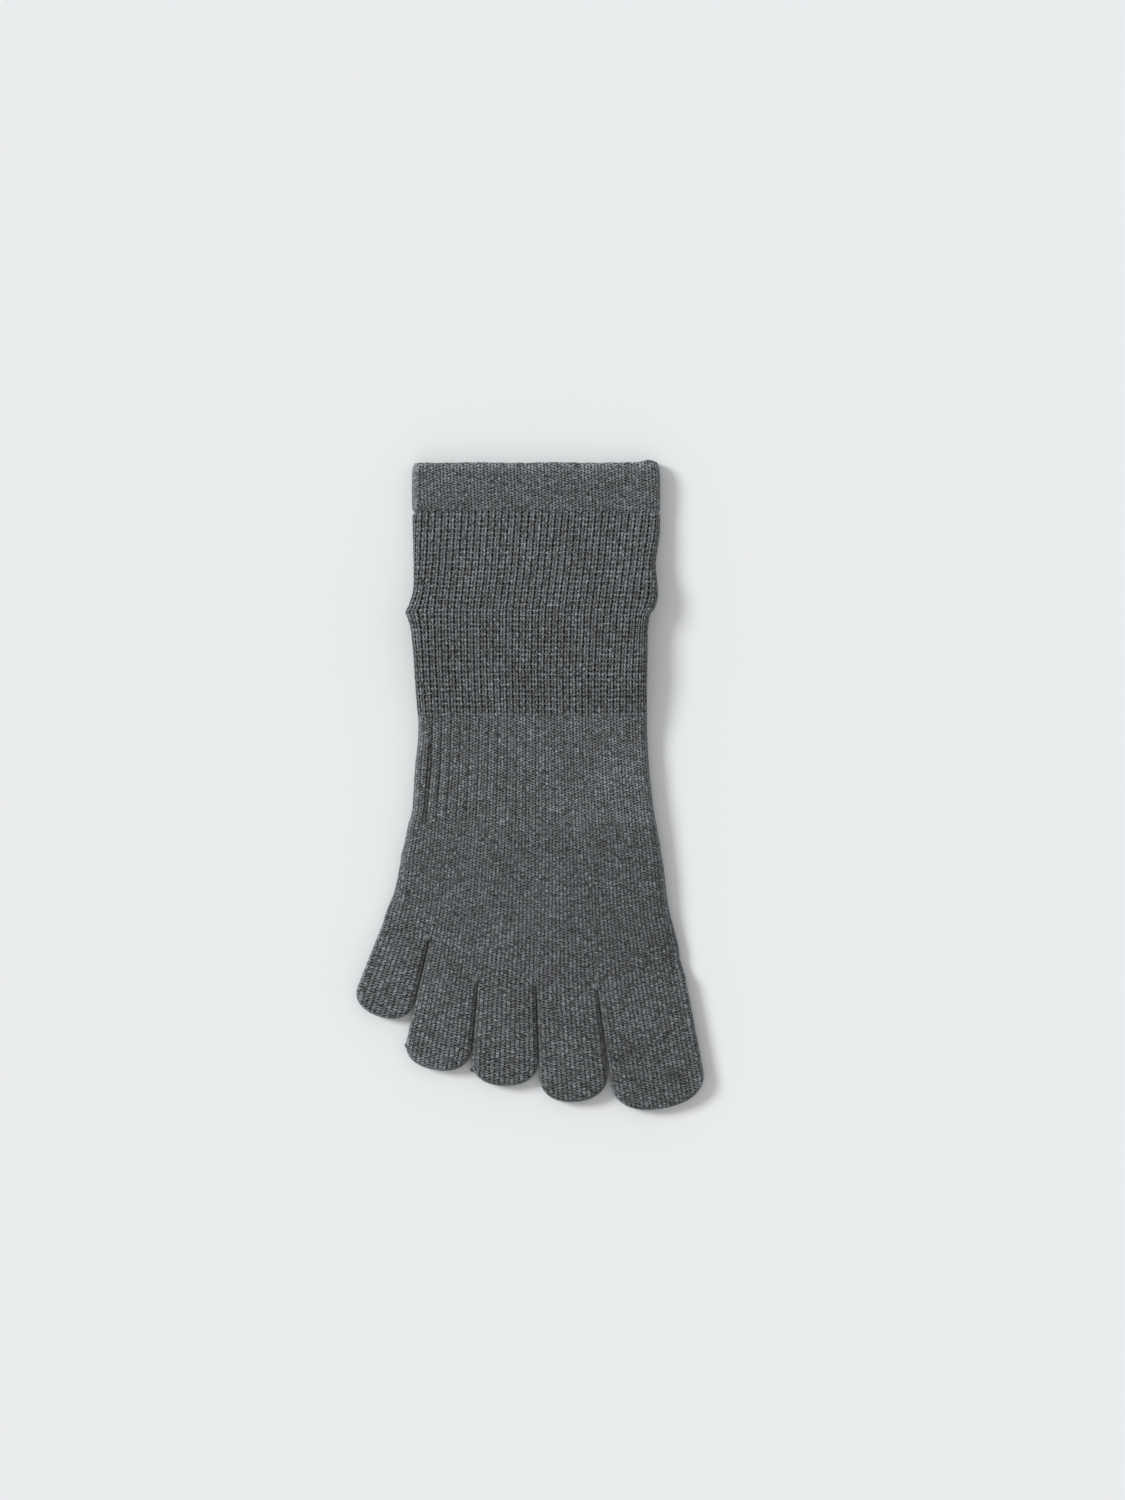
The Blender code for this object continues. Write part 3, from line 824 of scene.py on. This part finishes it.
instep_downs = np.linspace(HEEL_LINE, ARCH_START, ROWS_PER_TUCK * INSTEP_TUCKS + 1)
instep_rows = np.arange(len(instep_downs)) / ROWS_PER_TUCK
instep_edges = with_heights(instep_downs, INSTEP_SIDES)
instep_outer = tube_rings(instep_downs, instep_edges, HALF_HEIGHT, sole_height, full_turn)
instep_outer = lay_down(instep_outer, top_height(instep_downs), HALF_HEIGHT)
instep_ease = ease(instep_downs, end=ARCH_START)
instep_relief = tuck_relief(instep_outer, instep_rows) * instep_ease
instep_relief += plain_relief(instep_outer, instep_rows) * (1 - instep_ease)
instep_outer = pushed(instep_outer, instep_relief)
instep_inner = tube_rings(instep_downs[::7], instep_edges, HALF_HEIGHT, sole_height, full_turn, RIB_WALL)
knit_shell("instep_tube", instep_outer, instep_inner, instep_rows, tuck_knit)

# Arch band: the elastic zone round the arch, plain knit drawn into upright ribs three wales wide.
# The ribs are deepest along the left edge, where the band pulls the sock in.
ARCH_LENGTH = 0.0407
FOREFOOT_START = ARCH_START + ARCH_LENGTH
ARCH_RIB_WALES = 3
ARCH_RIB_DEPTH = 0.00034
ARCH_HALF_WIDTH = 0.047
RIB_REACH = 0.40
Groove = namedtuple("Groove", "at width depth")
ARCH_GROOVES = (
    Groove(0.0051, 0.00045, 0.00085),
    Groove(0.0063, 0.00045, 0.00070),
    Groove(0.0100, 0.00090, 0.00050),
)
GROOVES_START, GROOVES_END = 0.1000, 0.1372
ARCH_SIDES = (
    Sides(0.0965, 0.0451, 0.0427),
    Sides(0.0982, 0.0450, 0.0427),
    Sides(0.1039, 0.0452, 0.0428),
    Sides(0.1074, 0.0453, 0.0430),
    Sides(0.1112, 0.0459, 0.0432),
    Sides(0.1159, 0.0464, 0.0435),
    Sides(0.1228, 0.0468, 0.0442),
    Sides(0.1285, 0.0472, 0.0449),
    Sides(0.1343, 0.0475, 0.0456),
    Sides(0.1358, 0.0483, 0.0458),
    Sides(0.1372, 0.0489, 0.0462),
)
arch_downs = np.linspace(ARCH_START, FOREFOOT_START, 81)
arch_edges = with_heights(arch_downs, ARCH_SIDES)
arch_outer = tube_rings(arch_downs, arch_edges, HALF_HEIGHT, turn=full_turn)
arch_outer = lay_down(arch_outer, top_height(arch_downs), HALF_HEIGHT)
arch_ease = ease(arch_downs, ARCH_START, FOREFOOT_START, 0.005)
arch_wale = (np.arange(ROUND) / STEPS_PER_WALE)[None, :]
from_left = (arch_outer[..., 0] - MIDDLE_X + ARCH_HALF_WIDTH) / (2 * ARCH_HALF_WIDTH)
rib_strength = 0.25 + np.exp(-((from_left / RIB_REACH) ** 2))
rib_furrow = np.clip(np.cos(2 * math.pi * arch_wale / ARCH_RIB_WALES), 0, 1) ** 2
arch_courses = (arch_downs - ARCH_START) / COURSE
arch_relief = plain_relief(arch_outer, arch_courses)
arch_relief -= ARCH_RIB_DEPTH * rib_strength * rib_furrow * arch_ease
from_edge = arch_outer[..., 0] - arch_outer[..., 0].min(axis=1, keepdims=True)
on_top = arch_outer[..., 2] > 2 * HALF_HEIGHT * 0.6
for groove in ARCH_GROOVES:
    near = np.exp(-(((from_edge - groove.at) / groove.width) ** 2)) * on_top
    arch_relief -= groove.depth * near * ease(arch_downs, GROOVES_START, GROOVES_END, 0.012)
arch_outer = pushed(arch_outer, arch_relief)


# A painted highlight on the strip along the left edge, and painted shade in the groove beside it
STRIP_AT, LEFT_EDGE_HIGHLIGHT = 2.2, 0.18
GROOVE_AT, GROOVE_SHADE = 6.3, 0.45
RIB_SHADE = 0.60


def arch_stitches(wale, course, place):
    """Plain knit, with a painted highlight along the left edge and painted shade in the groove
    beside it.
    """
    height, tone, across, along = plain_stitches(wale, course)
    from_left = wale + LEG_LEAN
    strip = abs(from_left - STRIP_AT).fade(1.6, 2.6)
    groove = abs(from_left - GROOVE_AT).fade(0.5, 1.3)
    # The shade between the ribs, deepest near the left edge
    rib = (wale / ARCH_RIB_WALES).off_whole().fade(0.0, 0.22) * from_left.fade(25.0, 75.0)
    tone = tone * (1 - strip * 0.4) + strip * LEFT_EDGE_HIGHLIGHT - groove * GROOVE_SHADE
    return height, tone - (rib - 0.2) * RIB_SHADE, across, along


arch_knit = melange("arch_melange", arch_stitches, -0.11)
arch_inner = tube_rings(arch_downs[::10], arch_edges, HALF_HEIGHT, turn=full_turn, inset=RIB_WALL)
knit_shell("arch_band", arch_outer, arch_inner, arch_courses, arch_knit)

# Forefoot: the plain knit tube that spreads from the arch band to the line of the toe roots. Its
# wales fan out and are shared among the five toes.
TOE_WALES = (12, 15, 14, 15, 22)
TOE_HALF = 0.0030
TOE_ROLL = 0.0018
ROOT_LOW, ROOT_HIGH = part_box("forefoot")
# Where toes part: the share across, how far past ROOT_DOWN, and the lean in degrees there of the
# left toe's side and of the right one's
Root = namedtuple("Root", "across sag lean_left lean_right")
ROOTS = (
    Root(0.000, 0.0000, -21.6, -21.6),
    Root(0.150, 0.0082, -13.9, -12.8),
    Root(0.312, 0.0240, -5.3, -4.6),
    Root(0.506, 0.0273, 1.6, 2.2),
    Root(0.710, 0.0276, 6.8, 8.4),
    Root(1.000, 0.0218, 10.8, 10.8),
)
ROOT_DOWN = 0.1756
ROOT_SPAN = ROOT_HIGH.x - ROOT_LOW.x
# Its two sides: how far down, and how far out from the middle
LEFT_SIDE = (
    (0.1372, 0.0489), (0.1420, 0.0498), (0.1458, 0.0506), (0.1496, 0.0517), (0.1535, 0.0522),
    (0.1573, 0.0529), (0.1612, 0.0537), (0.1650, 0.0548), (0.1688, 0.0564), (0.1727, 0.0579),
    (0.1756, 0.0587),
)
RIGHT_SIDE = (
    (0.1372, 0.0462), (0.1447, 0.0476), (0.1543, 0.0491), (0.1665, 0.0505), (0.1719, 0.0515),
    (0.1846, 0.0549), (0.1900, 0.0555), (0.1950, 0.0571), (0.1974, 0.0577),
)
VALLEY_START = 0.93
FAN = 1.25
VALLEY_RISE = 0.25
FLATTEN_START = 0.35
BOW_HOLD = 4  # how close a side's bow keeps to that side
EDGE_WALES = 3
FOREFOOT_ROWS = 84

root_points = np.array([(ROOT_LOW.x + r.across * ROOT_SPAN, MOUTH_Y - ROOT_DOWN - r.sag) for r in ROOTS])


def root_line():
    """Plan, height share and lobe of the upper fabric's points along the toe roots."""
    plan, rise = [], []
    for lobe, wales in enumerate(TOE_WALES):
        left, right = root_points[lobe], root_points[lobe + 1]
        across, height = half_section(wales, np.linalg.norm(right - left), TOE_ROLL, TOE_HALF)
        keep = slice(0 if lobe == 0 else 1, None)
        plan.append(left + (right - left) * ((across + 1) / 2)[keep, None])
        rise.append(height[keep])
    return np.vstack(plan), np.concatenate(rise)


def side_bow(side, sign, first, last, shares):
    """How far a measured side stands out from its wale's own run between the side's two ends."""
    downs = -first[1] + (first[1] - last[1]) * shares
    out = np.interp(downs + MOUTH_Y, *zip(*side))
    return MIDDLE_X + sign * out - (first[0] + (last[0] - first[0]) * shares**FAN)


def forefoot_rings(shares, inset):
    start = tube_rings([FOREFOOT_START], arch_edges, HALF_HEIGHT, inset=inset)[0]
    half_count = ROUND // 2
    above = start[: half_count + 1]
    below = np.vstack((start[half_count:], start[:1]))[::-1]
    plan, lobed = root_line()
    if inset:
        squeeze = 1 - 2 * inset / ROOT_SPAN
        plan = (plan - plan.mean(0)) * (squeeze, 1) + plan.mean(0)
    spread = np.linspace(0, 1, half_count + 1)
    left_bow = side_bow(LEFT_SIDE, -1, above[0], plan[0], shares)
    right_bow = side_bow(RIGHT_SIDE, 1, above[-1], plan[-1], shares)
    rings = []
    for share, bow_left, bow_right in zip(shares, left_bow, right_bow):
        valley, half = smooth((share - VALLEY_START) / (1 - VALLEY_START)), forefoot_half(share)
        x = above[:, 0] + (plan[:, 0] - above[:, 0]) * share**FAN
        if not inset:
            x = x + bow_left * (1 - spread) ** BOW_HOLD + bow_right * spread**BOW_HOLD
        y = above[:, 1] + (plan[:, 1] - above[:, 1]) * share
        at_edge = np.minimum(spread, 1 - spread) * WALES < EDGE_WALES
        pinched = np.where(at_edge, lobed, VALLEY_RISE + (1 - VALLEY_RISE) * lobed)
        levels = []
        for fabric, sign in ((above, 1), (below, -1)):
            straight = (fabric[:, 2] - HALF_HEIGHT) / HALF_HEIGHT * half
            ended = sign * pinched * (TOE_HALF - inset)
            levels.append(half + straight * (1 - valley) + ended * valley)
        upper, lower = (np.column_stack((x, y, z)) for z in levels)
        rings.append(np.vstack((upper, lower[-2:0:-1])))
    return np.array(rings)


def forefoot_half(share):
    """Half the forefoot's height, which comes down to the toes' own."""
    return HALF_HEIGHT + (TOE_HALF - HALF_HEIGHT) * smooth((share - FLATTEN_START) / (1 - FLATTEN_START))


forefoot_shares = np.linspace(0, 1, FOREFOOT_ROWS)
forefoot_outer = forefoot_rings(forefoot_shares, 0.0)
forefoot_courses = courses_along(forefoot_outer[..., :2])
forefoot_halves = forefoot_half(forefoot_shares)[:, None]
forefoot_outer = lay_down(forefoot_outer, 2 * forefoot_halves[:, 0], forefoot_halves)
forefoot_outer = pushed(forefoot_outer, plain_relief(forefoot_outer, forefoot_courses, -LEG_LEAN))
forefoot_inner = forefoot_rings(np.linspace(0, 1, 11), PLAIN_WALL)
knit_shell(
    "forefoot", forefoot_outer, forefoot_inner, forefoot_courses, plain_knit, -LEG_LEAN
)

# Toes: five plain knit pockets, each knitted on its own share of the wales. They lie side by side
# and touch or nearly touch, with a dark crack between them, and end in a round, bound-off tip.
TIP_SQUARENESS = 2.3
TOE_PUFF = 0.0004
TOE_RING_STEP = 0.0009
Toe = namedtuple("Toe", "node tip")
TOES = (
    Toe("little_toe", 0.0085),
    Toe("fourth_toe", 0.0095),
    Toe("third_toe", 0.0100),
    Toe("second_toe", 0.0105),
    Toe("big_toe", 0.0120),
)


def direction(lean):
    """The way towards the toes, turned to the right by a lean in degrees."""
    return np.array((math.sin(math.radians(lean)), -math.cos(math.radians(lean))))


for index, toe in enumerate(TOES):
    lean_left, lean_right = ROOTS[index].lean_right, ROOTS[index + 1].lean_left
    heading = direction((lean_left + lean_right) / 2)
    side = np.array((-heading[1], heading[0]))
    left, right = root_points[index], root_points[index + 1]
    middle = (left + right) / 2
    corners = np.array([v.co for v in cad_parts[toe.node].data.vertices])[:, :2]
    reach = ((corners - middle) @ heading).max()
    straight = reach - toe.tip
    ends = []
    for start, lean in ((left, lean_left), (right, lean_right)):
        along = direction(lean)
        ends.append(start + along * (straight - (start - middle) @ heading) / (along @ heading))
    wales = TOE_WALES[index]
    across, _ = half_section(wales, np.linalg.norm(right - left), TOE_ROLL, TOE_HALF)
    rows = pocket_rows(reach, TOE_ROLL, int(reach / TOE_RING_STEP))

    def toe_rings(shares, inset):
        move = side * inset
        return pocket(
            across, np.array((left, ends[0])) + move, np.array((right, ends[1])) - move, heading,
            straight, toe.tip - inset, TIP_SQUARENESS, TOE_ROLL, TOE_HALF - inset, TOE_HALF, shares,
            0.0 if inset else TOE_PUFF,
        )

    # The wales and courses go on from the forefoot's
    first = sum(TOE_WALES[:index]) * STEPS_PER_WALE
    last = first + wales * STEPS_PER_WALE
    columns = np.concatenate((np.arange(first, last + 1), np.arange(ROUND - last + 1, ROUND - first)))
    outer = lay_down(toe_rings(rows, 0.0), 2 * TOE_HALF, TOE_HALF)
    courses = forefoot_courses[-1][columns % ROUND] + courses_along(outer)
    first_wale = first / STEPS_PER_WALE - LEG_LEAN
    outer = pushed(outer, plain_relief(outer, courses, first_wale))
    inner = toe_rings(np.append(rows[:-1:3], 1.0), PLAIN_WALL)
    knit_shell(toe.node, outer, inner, courses, plain_knit, first_wale, closed=True)

# Yarn ends: the joining stitches stand up as a small pale tuft where two toes part, and the yarn is
# knotted off as a small nub at the side of two toe tips.
YARN_RADIUS = 0.00024
YARN_SIDES = 6
TUFT_STRANDS = 6
KNOT_TURNS = 5
KNOT_LEVEL, KNOT_STEP = 0.0028, 0.0003
STRAND_LENGTHS, LOOP_SIZES = (0.0016, 0.0030), (0.0010, 0.0014)
STRAND_BOW = 0.0005
STRAND_RISE = 0.0006
ASTRAY = 0.0006  # how far from its place a strand or loop may lie
SLANTED = (0.3, 0.2, 0.93)  # a direction that no strand takes
Tuft = namedtuple("Tuft", "x y z lean")
TUFTS = (
    Tuft(-0.0393, -0.0580, 0.0060, 25),
    Tuft(-0.0207, -0.0738, 0.0060, -10),
    Tuft(0.0004, -0.0746, 0.0068, 30),
    Tuft(0.0253, -0.0768, 0.0062, 40),
)
Knot = namedtuple("Knot", "node x y lean")
KNOTS = (Knot("fourth_toe", -0.0466, -0.0996, -75), Knot("third_toe", -0.0218, -0.1084, -50))


def square(u, v, width, height):
    """A face's place on a map."""
    return [(u, v), (u + width, v), (u + width, v + height), (u, v + height)]


def yarn(name, node, strands, material):
    """Short pieces of yarn, each a tube along its line of points, closed at both ends."""
    points, corners, knit, bake = [], [], [], []
    around = np.arange(YARN_SIDES) * 2 * math.pi / YARN_SIDES
    for number, line in enumerate(strands):
        along = np.gradient(line, axis=0)
        along /= np.linalg.norm(along, axis=1, keepdims=True)
        side = np.cross(along, SLANTED)
        side /= np.linalg.norm(side, axis=1, keepdims=True)
        over = np.cross(side, along)
        rounded = YARN_RADIUS * np.sqrt(np.clip(1 - np.linspace(-1, 1, len(line)) ** 8, 0.04, 1))
        rings = line[:, None] + rounded[:, None, None] * (
            side[:, None] * np.cos(around)[:, None] + over[:, None] * np.sin(around)[:, None]
        )
        start = sum(len(p) for p in points)
        share = 1 / len(strands)
        points.append(rings.reshape(-1, 3))
        index = start + np.arange(rings.shape[0] * YARN_SIDES).reshape(rings.shape[:2])
        for i in range(len(line) - 1):
            for j in range(YARN_SIDES):
                k = (j + 1) % YARN_SIDES
                corners.append((index[i, j], index[i, k], index[i + 1, k], index[i + 1, j]))
                knit.append(square(j / 3, i / 2, 1 / 3, 1 / 2))
                u, v = (number + 0.05 + 0.9 * j / YARN_SIDES) * share, 0.1 + 0.8 * i / len(line)
                bake.append(square(u, v, 0.9 / YARN_SIDES * share, 0.8 / len(line)))
        # Two faces close each six-sided end
        for end, ring in enumerate((index[0][::-1], index[-1])):
            for half in range(2):
                corners.append([ring[(3 * half + n) % YARN_SIDES] for n in range(4)])
                knit.append(square(0.0, 0.0, 0.1, 0.1))
                u = (number + 0.1 + 0.2 * end + 0.4 * half) * share
                bake.append(square(u, 0.02 + 0.9 * end, 0.1 * share, 0.05))
    points = np.vstack(points)
    brim = np.zeros(len(points), np.int8)
    mesh_piece(name, node, points, brim, corners, knit, bake, material)


def twist(wale, course, place):
    """A loose end shows the yarn's own twist."""
    ply = (wale + course * 2).off_whole()
    return ply * 2, ply * 1.5, wale, course


loose_yarn = melange("loose_yarn", twist, 0.9)
yarn_random = np.random.default_rng(11)
for number, tuft in enumerate(TUFTS):
    strands = []
    for _ in range(TUFT_STRANDS):
        lean = math.radians(tuft.lean + yarn_random.uniform(-30, 30))
        length = yarn_random.uniform(*STRAND_LENGTHS)
        share = np.linspace(-0.5, 0.5, 9)
        arch = 1 - 4 * share**2
        bow = yarn_random.uniform(-STRAND_BOW, STRAND_BOW)
        centre = np.array((tuft.x, tuft.y)) + yarn_random.uniform(-ASTRAY, ASTRAY, 2)
        x = centre[0] + share * length * math.sin(lean) + bow * arch
        y = centre[1] - share * length * math.cos(lean)
        z = tuft.z + STRAND_RISE * arch + yarn_random.uniform(0, STRAND_RISE)
        strands.append(np.column_stack((x, y, z)))
    yarn(f"crotch_tuft_{number + 1}", "forefoot", strands, loose_yarn)
for knot in KNOTS:
    strands = []
    for turn in range(KNOT_TURNS):
        out = direction(knot.lean + yarn_random.uniform(-20, 20))
        side = np.array((-out[1], out[0]))
        angle = np.linspace(0, math.pi, 11)
        size = yarn_random.uniform(*LOOP_SIZES)
        centre = np.array((knot.x, knot.y)) + side * yarn_random.uniform(-ASTRAY, ASTRAY)
        plan = centre + size * (np.outer(np.sin(angle), out) + np.outer(np.cos(angle) * 0.45, side))
        z = KNOT_LEVEL + KNOT_STEP * (turn + np.sin(2 * angle))
        strands.append(np.column_stack((plan, z)))
    yarn(knot.node + "_knot", knot.node, strands, plain_knit)

# Studio: a pale floor, one large soft light from the upper left and an even, pale surround. The
# camera looks straight down.
FLOOR_HALF = 3.0
FLOOR_LEVEL = -0.0002
FLOOR_COLOUR = (0.80, 0.815, 0.825, 1.0)
LIGHT_STRENGTH = 2.22
LIGHT_SPREAD, LIGHT_TILT, LIGHT_TURN = (math.radians(angle) for angle in (19, -53, -23))
SURROUND_COLOUR = (0.99, 0.995, 1.0, 1.0)
SURROUND_STRENGTH = 0.61
VIEW_CENTRE = (0.0125, 0.0140)
VIEW_HEIGHT = 0.576
CAMERA_HEIGHT = 1.8
VIEW_LEVEL = 0.005  # the height at which the view is VIEW_HEIGHT tall

floor_mesh = bpy.data.meshes.new("floor")
floor_corners = [
    (x * FLOOR_HALF, y * FLOOR_HALF, FLOOR_LEVEL) for x, y in ((-1, -1), (1, -1), (1, 1), (-1, 1))
]
floor_mesh.from_pydata(floor_corners, [], [(0, 1, 2, 3)])
paper = bpy.data.materials.new("pale_floor")
paper.use_nodes = True
paper_shader = paper.node_tree.nodes["Principled BSDF"]
paper_shader.inputs["Base Color"].default_value = FLOOR_COLOUR
paper_shader.inputs["Roughness"].default_value = 0.9
floor_mesh.materials.append(paper)
floor = placed("floor", floor_mesh)

light = placed("key_light", bpy.data.lights.new("key_light", "SUN"))
light.data.energy, light.data.angle = LIGHT_STRENGTH, LIGHT_SPREAD
light.rotation_euler = (0.0, LIGHT_TILT, LIGHT_TURN)
surround = bpy.data.worlds.new("studio")
surround.use_nodes = True
background = surround.node_tree.nodes["Background"]
background.inputs["Color"].default_value = SURROUND_COLOUR
background.inputs["Strength"].default_value = SURROUND_STRENGTH
bpy.context.scene.world = surround
bpy.context.scene.view_settings.view_transform = "Standard"

camera = placed("camera", bpy.data.cameras.new("camera"))
camera.data.lens = camera.data.sensor_width * (CAMERA_HEIGHT - VIEW_LEVEL) / VIEW_HEIGHT
camera.location = (*VIEW_CENTRE, CAMERA_HEIGHT)
bpy.context.scene.camera = camera
